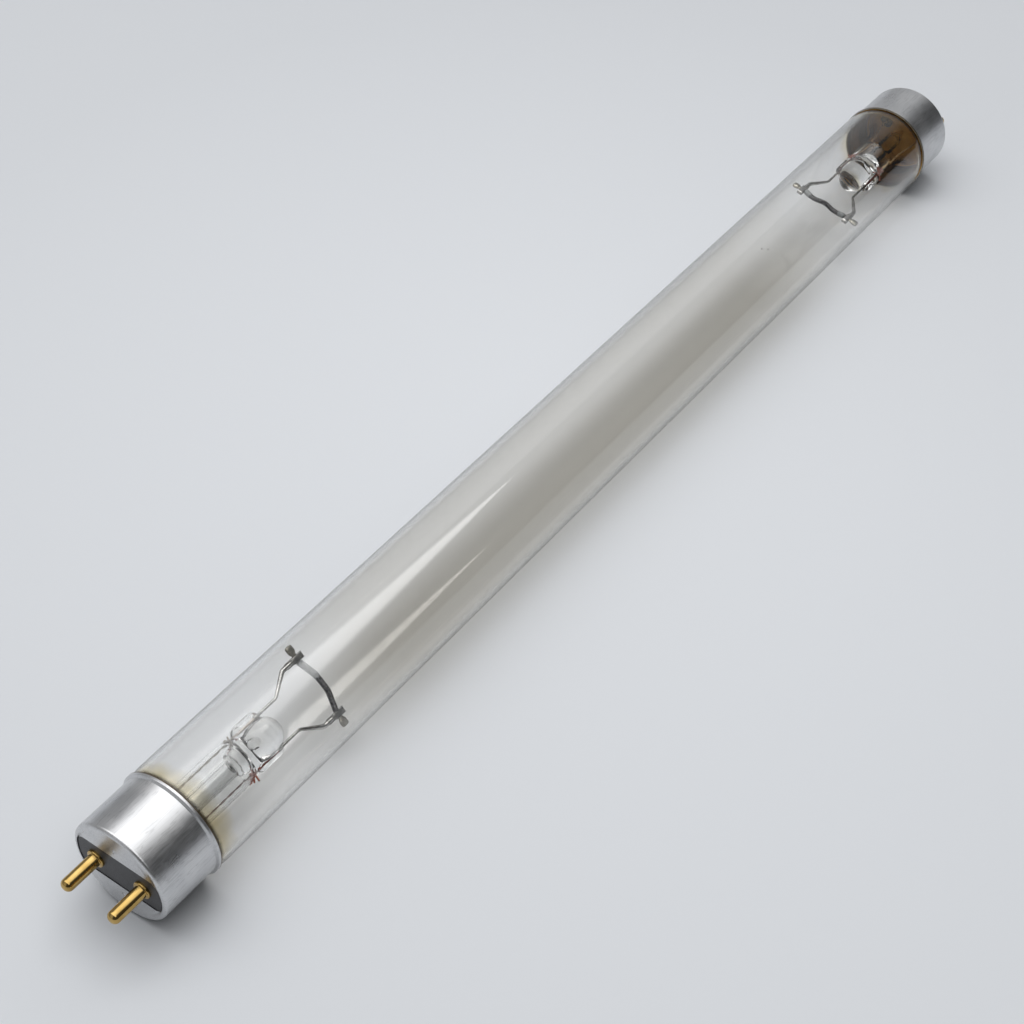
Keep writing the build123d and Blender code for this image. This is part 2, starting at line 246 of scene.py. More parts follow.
class Shade:
    # A material under construction, with short calls for the nodes used most
    def __init__(self, name):
        self.material = bpy.data.materials.new(name)
        self.material.use_nodes = True
        self.tree = self.material.node_tree
        self.nodes = self.tree.nodes
        self.shader = self.nodes["Principled BSDF"]
        self.output = self.nodes["Material Output"]
        self.place = self.nodes.new("ShaderNodeTexCoord").outputs["Object"]

    def set(self, **values):
        for label, value in values.items():
            self.shader.inputs[label.replace("_", " ")].default_value = value

    def link(self, a, b):
        self.tree.links.new(a, b)

    def group(self, tree, **values):
        node = self.nodes.new("ShaderNodeGroup")
        node.node_tree = tree
        self.link(self.place, node.inputs["Vector"])
        for label, value in values.items():
            node.inputs[label.replace("_", " ")].default_value = value
        return node

    def ramp(self, value, stops):
        node = self.nodes.new("ShaderNodeValToRGB")
        ramp = node.color_ramp
        while len(ramp.elements) < len(stops):
            ramp.elements.new(0.5)
        for element, (spot, colour) in zip(ramp.elements, stops):
            element.position = spot
            element.color = (*colour, 1)
        self.link(value, node.inputs["Fac"])
        return node.outputs["Color"]

    def spread(self, value, low, high, fromLow=0.3, fromHigh=0.7):
        node = self.nodes.new("ShaderNodeMapRange")
        limits = {"From Min": fromLow, "From Max": fromHigh, "To Min": low, "To Max": high}
        for label, number in limits.items():
            node.inputs[label].default_value = number
        self.link(value, node.inputs["Value"])
        return node.outputs["Result"]

    def maths(self, operation, a, b):
        node = self.nodes.new("ShaderNodeMath")
        node.operation = operation
        for value, socket in ((a, node.inputs[0]), (b, node.inputs[1])):
            if isinstance(value, (int, float)):
                socket.default_value = value
            else:
                self.link(value, socket)
        return node.outputs[0]

    def mixColour(self, factor, a, b):
        node = self.nodes.new("ShaderNodeMix")
        node.data_type = "RGBA"
        for value, socket in ((factor, node.inputs["Factor"]), (a, node.inputs["A"]), (b, node.inputs["B"])):
            if isinstance(value, tuple):
                socket.default_value = (*value, 1)
            else:
                self.link(value, socket)
        return next(s for s in node.outputs if s.type == "RGBA")

    def bump(self, height, strength, distance):
        node = self.nodes.new("ShaderNodeBump")
        node.inputs["Strength"].default_value = strength
        node.inputs["Distance"].default_value = distance
        self.link(height, node.inputs["Height"])
        self.link(node.outputs["Normal"], self.shader.inputs["Normal"])


def clearGlass(name, tint, ior, shadowTint, film):
    s = Shade(name)
    s.set(Base_Color=(*tint, 1), IOR=ior, Transmission_Weight=1.0)
    smear = s.group(mottle, Patch_Scale=film["scale"], Grain_Scale=film["scale"] * 12).outputs["Patches"]
    clear = s.nodes.new("ShaderNodeBsdfTransparent")
    clear.inputs["Color"].default_value = (*shadowTint, 1)
    if "stain" in film:
        along = s.nodes.new("ShaderNodeSeparateXYZ")
        s.link(s.place, along.inputs[0])
        reach = s.maths("ABSOLUTE", along.outputs["X"], 0)
        uneven = s.maths("ADD", reach, s.spread(smear, -film["ragged"], film["ragged"]))
        aged = s.spread(uneven, 1.0, 0.0, *film["agedReach"])  # greyed between the cathodes
        paintedHighlight = s.mixColour(aged, tint, film["aged"])
        bloom = s.spread(uneven, 0.0, 1.0, *film["stainReach"])  # beige from the cement
        stained = s.mixColour(bloom, paintedHighlight, film["stain"])
        slant = s.nodes.new("ShaderNodeLayerWeight").outputs["Facing"]
        edge = s.spread(slant, 0.0, 1.0, *film["limbShadeFacing"])  # painted shade: the glass darkens towards its edges as seen
        limbShaded = s.mixColour(edge, stained, film["edge"])
        gapShade = s.spread(reach, 0.0, 1.0, *film["gapShadeReach"])  # painted shade: a dark line on the glass beside the cap lip, for the shade in the gap
        s.link(s.mixColour(gapShade, limbShaded, film["gapShade"]), s.shader.inputs["Base Color"])
        blur = s.spread(slant, 0.0, film["blur"], *film["blurFacing"])  # spreads light caught in the wall
        s.link(blur, s.shader.inputs["Roughness"])
        s.link(s.mixColour(aged, shadowTint, film["agedShadow"]), clear.inputs["Color"])
    else:
        s.link(s.spread(smear, 0.0, film["blur"], 0.5, 0.75), s.shader.inputs["Roughness"])
    path = s.nodes.new("ShaderNodeLightPath")
    surface = s.shader.outputs["BSDF"]
    for ray in ("Is Shadow Ray", "Is Diffuse Ray"):  # light for what lies behind passes unbent
        mix = s.nodes.new("ShaderNodeMixShader")
        s.link(path.outputs[ray], mix.inputs["Fac"])
        s.link(surface, mix.inputs[1])
        s.link(clear.outputs["BSDF"], mix.inputs[2])
        surface = mix.outputs["Shader"]
    s.link(surface, s.output.inputs["Surface"])
    return s.material


def satinAluminium():
    s = Shade("satinAluminium")
    s.set(Metallic=1.0)
    cloud = s.group(mottle, Patch_Scale=160.0, Grain_Scale=2600.0)
    rub = s.group(hairlines, Stretch=(0.08, 1, 1), Scale=1700.0, Width=0.03)
    base = s.ramp(cloud.outputs["Patches"], [(0.3, (0.575, 0.58, 0.59)), (0.7, (0.69, 0.69, 0.695))])
    s.link(s.mixColour(s.maths("MULTIPLY", rub.outputs["Lines"], 0.3), base, (0.36, 0.36, 0.365)),
           s.shader.inputs["Base Color"])
    drawn = s.group(hairlines, Stretch=(0.12, 1, 1), Scale=1500.0, Width=0.05)
    rough = s.spread(cloud.outputs["Patches"], 0.27, 0.33)
    lines = s.maths("MULTIPLY", drawn.outputs["Lines"], 0.05)
    s.link(s.maths("ADD", rough, lines), s.shader.inputs["Roughness"])
    s.bump(cloud.outputs["Grain"], 0.03, 0.00002)
    return s.material


def stainedAluminium():
    # Inside of the cap, browned when the cement was baked
    s = Shade("stainedAluminium")
    s.set(Metallic=0.15)
    cloud = s.group(mottle, Patch_Scale=140.0, Grain_Scale=1500.0)
    s.link(s.ramp(cloud.outputs["Patches"], [(0.3, (0.48, 0.25, 0.045)), (0.7, (0.72, 0.43, 0.11))]),
           s.shader.inputs["Base Color"])
    s.link(s.spread(cloud.outputs["Grain"], 0.4, 0.6), s.shader.inputs["Roughness"])
    return s.material


def polishedBrass():
    s = Shade("polishedBrass")
    s.set(Metallic=1.0)
    cloud = s.group(mottle, Patch_Scale=500.0, Grain_Scale=4000.0)
    s.link(s.ramp(cloud.outputs["Patches"], [(0.3, (0.42, 0.275, 0.085)), (0.7, (0.56, 0.385, 0.14))]),
           s.shader.inputs["Base Color"])
    s.link(s.spread(cloud.outputs["Grain"], 0.07, 0.15), s.shader.inputs["Roughness"])
    s.bump(cloud.outputs["Grain"], 0.03, 0.00002)
    return s.material


plateBack = (0.1642, 0.1648)  # metres from the middle of the lamp


def charcoalPlastic():
    s = Shade("charcoalPlastic")
    cloud = s.group(mottle, Patch_Scale=300.0, Grain_Scale=5000.0)
    face = s.ramp(cloud.outputs["Patches"], [(0.3, (0.032, 0.032, 0.035)), (0.7, (0.050, 0.050, 0.054))])
    back = s.ramp(cloud.outputs["Patches"], [(0.3, (0.44, 0.215, 0.03)), (0.7, (0.68, 0.365, 0.07))])
    along = s.nodes.new("ShaderNodeSeparateXYZ")
    s.link(s.place, along.inputs[0])
    inner = s.spread(s.maths("ABSOLUTE", along.outputs["X"], 0), 1.0, 0.0, *plateBack)
    s.link(s.mixColour(inner, face, back), s.shader.inputs["Base Color"])  # the back is browned by the baking
    s.link(s.spread(cloud.outputs["Grain"], 0.38, 0.52), s.shader.inputs["Roughness"])
    s.bump(cloud.outputs["Grain"], 0.1, 0.00003)
    return s.material


def bakedCement():
    s = Shade("bakedCement")
    cloud = s.group(mottle, Patch_Scale=220.0, Grain_Scale=2400.0)
    s.link(s.ramp(cloud.outputs["Patches"], [(0.25, (0.36, 0.18, 0.05)), (0.6, (0.60, 0.35, 0.11)),
                                            (0.8, (0.75, 0.50, 0.21))]), s.shader.inputs["Base Color"])
    s.link(s.spread(cloud.outputs["Grain"], 0.6, 0.85), s.shader.inputs["Roughness"])
    s.bump(cloud.outputs["Grain"], 0.4, 0.0001)
    return s.material


def drawnWire(name, dark, light, roughness, metallic=1.0, patches=900.0):
    s = Shade(name)
    s.set(Metallic=metallic)
    cloud = s.group(mottle, Patch_Scale=patches, Grain_Scale=6000.0)
    s.link(s.ramp(cloud.outputs["Patches"], [(0.3, dark), (0.7, light)]), s.shader.inputs["Base Color"])
    s.link(s.spread(cloud.outputs["Grain"], roughness, roughness + 0.1), s.shader.inputs["Roughness"])
    s.bump(cloud.outputs["Grain"], 0.1, 0.00003)
    return s.material


# Reaches are metres from the middle of the lamp, and facings run from 0 face on to 1 edge on
# The edge colour is painted shade on the tube's edges as seen.
tubeFilm = {"scale": 90.0, "ragged": 0.0025, "aged": (0.936, 0.923, 0.894), "agedReach": (0.082, 0.115),
            "agedShadow": (0.852, 0.845, 0.828), "stain": (0.80, 0.70, 0.46), "stainReach": (0.1445, 0.1495),
            "gapShade": (0.04, 0.028, 0.016), "gapShadeReach": (0.1489, 0.1496), "edge": (0.93, 0.925, 0.912),
            "limbShadeFacing": (0.55, 0.8), "blur": 0.2, "blurFacing": (0.58, 0.68)}
stemFilm = {"scale": 150.0, "blur": 0.01}
tubeGlass = clearGlass("tubeGlass", (0.992, 0.989, 0.98), 1.47, (0.95, 0.947, 0.94), tubeFilm)
stemGlass = clearGlass("stemGlass", (0.992, 0.995, 0.992), 1.5, (0.97, 0.97, 0.965), stemFilm)
capMetal = satinAluminium()
capInside = stainedAluminium()
brass = polishedBrass()
charcoal = charcoalPlastic()
cement = bakedCement()
copper = drawnWire("copperStrand", (0.22, 0.07, 0.05), (0.44, 0.16, 0.11), 0.4, 0.35)
# painted highlight: a pale grey copy of the copper lead for the near A lead, which lies in the highlight
paintedHighlightStrand = drawnWire("paintedHighlightStrand", (0.16, 0.14, 0.12), (0.36, 0.33, 0.30), 0.4, 0.5)
darkCopper = drawnWire("copperLead", (0.04, 0.015, 0.01), (0.10, 0.038, 0.026), 0.35, 0.5)
# painted light: a lighter, non-metal copy of the copper lead for the far end, whose leads lie in shade inside
# the cap
paintedLightLead = drawnWire("paintedLightLead", (0.36, 0.22, 0.09), (0.54, 0.36, 0.17), 0.5, 0.0)
dumet = drawnWire("sealedWire", (0.09, 0.025, 0.018), (0.2, 0.06, 0.045), 0.35)
nickel = drawnWire("nickelWire", (0.27, 0.27, 0.265), (0.60, 0.59, 0.57), 0.1)
tabMetal = drawnWire("flatTab", (0.15, 0.14, 0.11), (0.50, 0.48, 0.42), 0.2, 0.8, 1500.0)
# painted highlight: a pale copy of the sealed wire for the near A wire
paintedHighlightSeal = drawnWire("paintedHighlightSeal", (0.42, 0.37, 0.34), (0.62, 0.57, 0.54), 0.35)
tungsten = drawnWire("cathodeWire", (0.03, 0.03, 0.033), (0.30, 0.30, 0.31), 0.35, 1.0, 2200.0)
paste = drawnWire("cathodePaste", (0.22, 0.235, 0.245), (0.46, 0.48, 0.49), 0.55, 0.0, 2200.0)
footLine = drawnWire("footLine", (0.015, 0.015, 0.016), (0.05, 0.05, 0.052), 0.3, 0.0)
# painted shade: a dark strip on the outer edge of the cap lip, for the shade where lip meets glass
paintedRimShade = drawnWire("paintedRimShade", (0.06, 0.045, 0.028), (0.16, 0.12, 0.07), 0.4, 0.5)
mercuryMetal = drawnWire("mercury", (0.70, 0.70, 0.71), (0.82, 0.82, 0.83), 0.02)
print("materials ready")

# Glass envelope
tube = {"radius": 13.0, "wall": 1.0, "neckRadius": 11.5, "sealDepth": 6.5, "neckDepth": 12.5,
        "fullDepth": 16.4, "shoulderRound": 2.2, "steps": 256}


def glassTube():
    r, n, w = tube["radius"], tube["neckRadius"], tube["wall"]
    neck, full = tube["neckDepth"], tube["fullDepth"]
    outside = [(n, tube["sealDepth"]), (n, neck), (r, full)]
    outside += [(radius, lampLength - depth) for radius, depth in reversed(outside)]
    inside = [(radius - w, depth) for radius, depth in reversed(outside)]
    bm = profileSpin(outside + inside, tube["steps"])
    for radius, depth in ((n, neck), (r, full), (n - w, neck), (r - w, full)):
        for place in (depth, lampLength - depth):
            roundRing(bm, radius, place, tube["shoulderRound"], 5)
    putPiece("glassTube", bm, endSpace("near"), tubeGlass, ["glass_tube"], 60.0)


glassTube()
print("glass ready")

# Caps
cap = {"length": 15.5, "wall": 0.4, "radius": 12.5, "corner": 0.9, "rimRadius": 13.15, "rimLength": 0.8,
       "rimFlare": 0.4, "rimLine": 0.26, "flareRound": 0.12, "lipRound": 0.1, "rimRound": 0.08,
       "mouthRound": 0.06, "cornerFlat": 0.02, "windowRadius": 11.38, "windowWidth": 9.3, "windowCorner": 1.7,
       "edge": 0.1, "steps": 144, "stakeSpacing": 14.0, "stakeRadius": 0.7, "stakeDepth": 0.3,
       "stakeShape": (0.75, 1.15)}
capFinish = [capMetal, capInside, charcoal, paintedRimShade]


def windowLoop(bm, grow, depth):
    # Outline of the window: a disc cut by two straight sides
    radius = cap["windowRadius"] + grow
    disc = bmesh.ops.create_circle(bm, cap_ends=True, radius=radius, segments=cap["steps"])["verts"]
    geom = disc + list({e for v in disc for e in v.link_edges})
    geom += list({f for v in disc for f in v.link_faces})
    half, corner = cap["windowWidth"] / 2 + grow, cap["windowCorner"]
    for side in (1, -1):
        cut = bmesh.ops.bisect_plane(bm, geom=geom, dist=1e-5, plane_co=(0, side * half, 0),
                                     plane_no=(0, side, 0), clear_outer=True)
        geom = [g for g in cut["geom"] if g.is_valid]
    face = next(g for g in geom if isinstance(g, bmesh.types.BMFace))
    corners = [v for v in face.verts if abs(abs(v.co.y) - half) < 1e-4]
    beside = [v for v in face.verts if v not in corners
              and min((v.co - c.co).length for c in corners) < corner]
    bmesh.ops.dissolve_verts(bm, verts=beside)  # room on the arc for the rounding
    rounded = bmesh.ops.bevel(bm, geom=corners, offset=corner, offset_type="OFFSET", affect="VERTICES",
                              segments=5, profile=0.5, material=-1)
    face = next(f for f in rounded["verts"][0].link_faces)
    verts, edges = list(face.verts), list(face.edges)
    bmesh.ops.delete(bm, geom=[face], context="FACES_ONLY")
    bmesh.ops.translate(bm, vec=(0, 0, depth), verts=verts)
    return edges


def capShell(end):
    r, c, w, rim, mouth = (cap[k] for k in ("radius", "corner", "wall", "rimRadius", "length"))
    lip, line = mouth - cap["rimLength"], mouth - cap["rimLine"]
    flare = lip - cap["rimFlare"]
    flat = r - c
    outside = [(flat, 0), (r, 0), (r, flare), (rim, lip), (rim, line), (rim, mouth)]
    inside = [(rim - w, mouth), (rim - w, lip), (r - w, flare), (r - w, w), (flat, w)]
    bm = profileSpin(outside + inside, cap["steps"], closed=False)
    roundRing(bm, r, 0, c - cap["cornerFlat"], 10)
    roundRing(bm, r - w, w, c - w - cap["cornerFlat"], 6)
    roundRing(bm, r, flare, cap["flareRound"], 3)
    roundRing(bm, rim, lip, cap["lipRound"], 3)
    roundRing(bm, rim, mouth, cap["rimRound"], 3)
    roundRing(bm, rim - w, mouth, cap["mouthRound"], 2)
    front = windowLoop(bm, cap["edge"], 0)
    brow = windowLoop(bm, 0, cap["edge"])
    back = windowLoop(bm, 0, w)
    loops = [ringEdges(bm, flat, 0), front, brow, back, ringEdges(bm, flat, w)]
    for a, b in zip(loops, loops[1:]):
        bmesh.ops.bridge_loops(bm, edges=a + b)
    bmesh.ops.recalc_face_normals(bm, faces=bm.faces[:])
    for face in bm.faces:
        middle = face.calc_center_median()
        aside = Vector((middle.x, middle.y, 0))
        outward = face.normal.dot(aside.normalized()) if aside.length > 1 else 0
        # inward faces above the wall depth, the window walls, take the charcoal as painted shade in the gap
        # round the insulator
        inner = outward < -0.2
        stained = inner or face.normal.z > 0.9 and middle.z < 2
        # faces of the lip beyond rimLine take the painted rim shade
        edge = outward > 0.1 and middle.z > line
        face.material_index = 2 if inner and middle.z < w else 3 if edge else 1 if stained else 0
    piece = meshToObject(f"{end}CapShell", bm)
    for item in capFinish:
        piece.data.materials.append(item)
    dents = bmesh.new()
    stake = cap["stakeRadius"]
    for side in (1, -1):
        ball = bmesh.ops.create_uvsphere(dents, u_segments=24, v_segments=16, radius=stake)["verts"]
        bmesh.ops.scale(dents, vec=(*cap["stakeShape"], cap["stakeDepth"] / stake), verts=ball)
        bmesh.ops.translate(dents, vec=(0, side * cap["stakeSpacing"] / 2, 0), verts=ball)
    tool = meshToObject("stakes", dents)
    cut = piece.modifiers.new("stakes", "BOOLEAN")
    cut.operation = "DIFFERENCE"
    cut.object = tool
    cut.solver = "EXACT"
    applyModifiers(piece)
    bpy.data.objects.remove(tool)
    piece.data.transform(endSpace(end))
    dressPiece(piece, capFinish, [f"{end}_cap_shell"], 40.0)


for end in lampEnds:
    capShell(end)
    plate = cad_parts[f"{end}_cap_insulator"].data  # the solid has the right shape
    plate.materials.clear()
    plate.materials.append(charcoal)
print("caps ready")

# Contact pins
pin = {"spacing": 12.7, "radius": 1.5, "length": 9.0, "tip": 1.25, "collarRadius": 2.15, "collar": 0.6,
       "collarRound": 0.22, "rootRound": 0.15, "recess": 0.15, "innerDepth": 2.3, "rivetRadius": 1.95,
       "rivetDepth": 1.8, "steps": 64}


def contactPin(end, side, across):
    r, tip, seat = pin["radius"], pin["length"], pin["recess"]
    wide, collar = pin["collarRadius"], seat - pin["collar"]
    head, low, high = pin["rivetRadius"], pin["rivetDepth"], pin["innerDepth"]
    points = [(0, -tip), (r, -tip), (r, collar), (wide, collar), (wide, seat), (r, seat), (r, low),
              (head, low), (head, high), (0, high)]
    bm = profileSpin(points, pin["steps"], closed=False)
    roundRing(bm, r, -tip, pin["tip"], 8)
    roundRing(bm, wide, collar, pin["collarRound"], 4)
    roundRing(bm, r, collar, pin["rootRound"], 3)
    bmesh.ops.translate(bm, vec=(across * pin["spacing"] / 2, 0, 0), verts=bm.verts[:])
    putPiece(f"{end}Pin{side.upper()}", bm, endSpace(end), brass, [f"{end}_pin_{side}"], 40.0)


for end in lampEnds:
    for side, across in (("a", 1), ("b", -1)):
        contactPin(end, side, across)
print("pins ready")

# Basing cement
cementRing = {"inner": 11.52, "outer": 12.08, "start": 6.5, "end": 13.8, "ragged": 0.5, "steps": 120}


def cementBand(end):
    inner, outer, low, high = (cementRing[k] for k in ("inner", "outer", "start", "end"))
    bm = profileSpin([(inner, low), (outer, low), (outer, high), (inner, high)], cementRing["steps"])
    for v in bm.verts:  # a wavy edge where the cement was wiped
        if abs(v.co.z - high) < 1e-3:
            turn = math.atan2(v.co.y, v.co.x)
            wave = 0.5 + 0.3 * math.sin(3 * turn + 1) + 0.2 * math.sin(11 * turn + 2)
            v.co.z -= cementRing["ragged"] * wave
    putPiece(f"{end}Cement", bm, endSpace(end), cement, [f"{end}_basing_cement"])


for end in lampEnds:
    cementBand(end)
print("cement ready")

# Stem: tube and flare spun as one wall, pinched at its closed end, with the beads and the bulge melted in
stem = {"radius": 5.4, "wall": 0.7, "steps": 96, "flareRadius": 10.2, "flareDepth": 19.5, "flareSteps": 8,
        "lipRadius": 11.45, "sealDepth": 6.48, "tubeDrop": 28.5, "cavityDrop": 23.2, "shoulderDrop": 18.5,
        "pinch": 0.60, "widen": 0.03, "plugDrop": 27.4, "plug": 3.3, "wireSpan": 8.5, "bead": (1.75, 1.25),
        "beadDrop": 15.0, "bulge": 4.2, "bulgeDrop": 12.6, "blade": (0.6, 1.38, 4.4), "bore": 1.5,
        "boreOver": (0.8, 0.6), "vent": 1.1, "ventDrop": 21.0, "ventShift": 1.0, "ventReach": (0.4, 6.4),
        "ventLine": 0.16, "lineDrops": (24.3, 26.8), "lineWidth": 0.4, "lineSpan": 2.7, "voxel": 0.21,
        "soften": 10}


def capsule(bm, place, radius, low, high):
    # A round-ended rod along the depth
    ball = bmesh.ops.create_uvsphere(bm, u_segments=32, v_segments=16, radius=radius)
    for v in ball["verts"]:
        v.co.z += (high - radius) if v.co.z > 0 else (low + radius)
        v.co.x += place


def stemOutline(depth):
    # The wall of the stem, from its closed end down to the lip and back up to the plug below the press
    s = stem
    r, w, plug = s["radius"], s["wall"], s["plug"]
    drops = ("tubeDrop", "cavityDrop", "shoulderDrop", "plugDrop")
    tubeEnd, cavity, shoulder, low = (depth - s[k] for k in drops)
    rise, run = s["flareRadius"] - r, s["flareDepth"] - s["sealDepth"]
    bend = (rise * rise + run * run) / (2 * rise)
    turns = [math.asin(run / bend) * k / s["flareSteps"] for k in range(s["flareSteps"] + 1)]
    flare = [(r + bend * (1 - math.cos(t)), s["flareDepth"] - bend * math.sin(t)) for t in turns]
    outside = [(0, shoulder), (r * 0.5, shoulder - 0.6), (r * 0.78, cavity + 1.0), (r * 0.94, cavity - 2.0),
               (r, tubeEnd)] + flare + [(s["lipRadius"], s["sealDepth"])]
    inside = [(s["lipRadius"], s["sealDepth"] - w)] + [(x - w * 0.9, y - w * 0.3) for x, y in reversed(flare)]
    inside += [(r - w, tubeEnd), (r * 0.94 - w, cavity - 2.2), (plug + 0.35, cavity), (plug, cavity - 0.6),
               (plug, low + 1.6), (plug * 0.85, low + 0.7), (plug * 0.5, low + 0.15), (0, low)]
    return outside + inside


def ventDrill(depth):
    # The exhaust passage: a bore up the middle and a hole to the broad face of the press
    s = stem
    r, middle = s["vent"], depth - s["ventDrop"]
    below, above = s["boreOver"]
    start, end = s["ventReach"]
    drill = bmesh.new()
    capsule(drill, 0, s["bore"], depth - s["cavityDrop"] - below, middle + r + above)
    hole = bmesh.ops.create_cone(drill, cap_ends=True, segments=32, radius1=r, radius2=r,
                                 depth=end - start)["verts"]
    bmesh.ops.rotate(drill, verts=hole, cent=(0, 0, 0), matrix=Matrix.Rotation(math.pi / 2, 3, "X"))
    bmesh.ops.translate(drill, verts=hole, vec=(s["ventShift"], (start + end) / 2, middle))
    return meshToObject("ventDrill", drill)


def meltTogether(piece, name):
    melt = piece.modifiers.new(name, "REMESH")
    melt.mode = "VOXEL"
    melt.voxel_size = stem["voxel"]


def stemGlassBody(end):
    s = stem
    depth = lampEnds[end]["cathodeDepth"]
    tubeEnd, cavity = depth - s["tubeDrop"], depth - s["cavityDrop"]
    bm = profileSpin(stemOutline(depth), s["steps"], closed=False)
    for v in bm.verts:  # the jaws flatten the closed end
        t = min(max((v.co.z - tubeEnd) / (cavity - tubeEnd), 0), 1)
        t = t * t * (3 - 2 * t)
        v.co.y *= 1 - (1 - s["pinch"]) * t
        v.co.x *= 1 + s["widen"] * t
    spare, thick, tall = s["blade"]
    blade = bmesh.ops.create_uvsphere(bm, u_segments=32, v_segments=16, radius=1)["verts"]
    bmesh.ops.scale(bm, vec=(s["wireSpan"] / 2 + spare, thick, tall), verts=blade)
    bmesh.ops.translate(bm, vec=(0, 0, depth - (s["cavityDrop"] + s["beadDrop"]) / 2), verts=blade)
    capsule(bm, 0, s["bulge"], cavity + 0.4, depth - s["bulgeDrop"])
    for side, bead in zip((1, -1), s["bead"]):
        capsule(bm, side * s["wireSpan"] / 2, bead, cavity + 0.2, depth - s["beadDrop"])
    piece = meshToObject(f"{end}Stem", bm)
    cutter = ventDrill(depth)
    meltTogether(piece, "melt")
    cut = piece.modifiers.new("vent", "BOOLEAN")
    cut.operation = "DIFFERENCE"
    cut.object = cutter
    cut.solver = "FAST"
    meltTogether(piece, "remelt")
    soften = piece.modifiers.new("soften", "SMOOTH")
    soften.factor = 0.5
    soften.iterations = s["soften"]
    applyModifiers(piece)
    bpy.data.objects.remove(cutter)
    for polygon in piece.data.polygons:  # dark lines round the foot of the press and below the vent
        u, v, z = polygon.center
        rise = z - depth + s["ventDrop"]
        inLine = any(abs(depth - drop - z) < s["lineWidth"] / 2 for drop in s["lineDrops"])
        onPlug = 0 < v < s["plug"] * s["pinch"] + 0.4 and abs(u) < s["lineSpan"]
        steep = abs(polygon.normal.z) < 0.6
        fromVent = math.hypot(u - s["ventShift"], rise)
        onVent = v > 2.0 and abs(fromVent - s["vent"]) < s["ventLine"] and rise < 0.3
        polygon.material_index = 1 if inLine and steep and onPlug or onVent else 0
    piece.data.transform(mountSpace(end))
    dressPiece(piece, [stemGlass, footLine], [f"{end}_stem"], 80.0)
    print(end, "stem faces", len(piece.data.polygons))


exhaust = {"radius": 2.2, "wall": 0.7, "tipDepth": 4.5, "tipLength": 5.0, "tipRadius": 0.5, "tipRound": 0.3,
           "neckRound": 1.2, "boreRound": 0.8, "boreTip": 1.4, "topRound": 0.2, "overlap": 0.1}


def exhaustTube(end):
    e = exhaust
    top = lampEnds[end]["cathodeDepth"] - stem["plugDrop"] + e["overlap"]
    r, b, tip, low = e["radius"], e["radius"] - e["wall"], e["tipRadius"], e["tipDepth"]
    neck = low + e["tipLength"]
    points = [(0, low), (tip, low), (r, neck), (r, top), (b, top), (b, neck), (0, neck - e["boreTip"])]
    bm = profileSpin(points, 64, closed=False)
    roundRing(bm, tip, low, e["tipRound"], 4)
    roundRing(bm, r, neck, e["neckRound"], 5)
    roundRing(bm, b, neck, e["boreRound"], 5)
    roundRing(bm, r, top, e["topRound"], 3)
    putPiece(f"{end}ExhaustTube", bm, mountSpace(end), stemGlass, [f"{end}_exhaust_tube"], 60.0)


for end in lampEnds:
    stemGlassBody(end)
    exhaustTube(end)
print("stems ready")

# Wires: copper outer leads, the wires sealed in the press and the nickel leads
outerLead = {"radius": 0.13, "twist": 5.0, "twistShare": 0.9, "steps": 90, "startDepth": 0.3,
             "turnDepth": 5.5, "entryDepth": 14.5, "knotDrop": 23.6, "knotLength": 0.3, "strands": 15,
             "strandRadius": 0.2, "strandReach": (1.1, 2.8), "strandLimit": 6.0, "paintedHighlight": ["near_a"],
             "highlightLeadShare": 0.6}
sealWire = {"radius": 0.2, "weldDrop": 16.5}
electrodeLead = {"radius": 0.4, "swell": [0.85, 0.85, 0.9, 1.0, 1.35, 1.5, 1.5, 1.3], "bend": 1.0,
                 "spread": 15.2, "bendInDrop": 9.3, "bendOutDrop": 4.2, "flapDrop": 1.3, "tipReach": 2.0,
                 "bladeWidth": 1.45, "bladeThickness": 0.45, "bladeEdge": 0.1, "bladeStart": 0.6,
                 "bladeTaper": 0.8, "taperShare": 0.5, "coilOffset": 0.625}


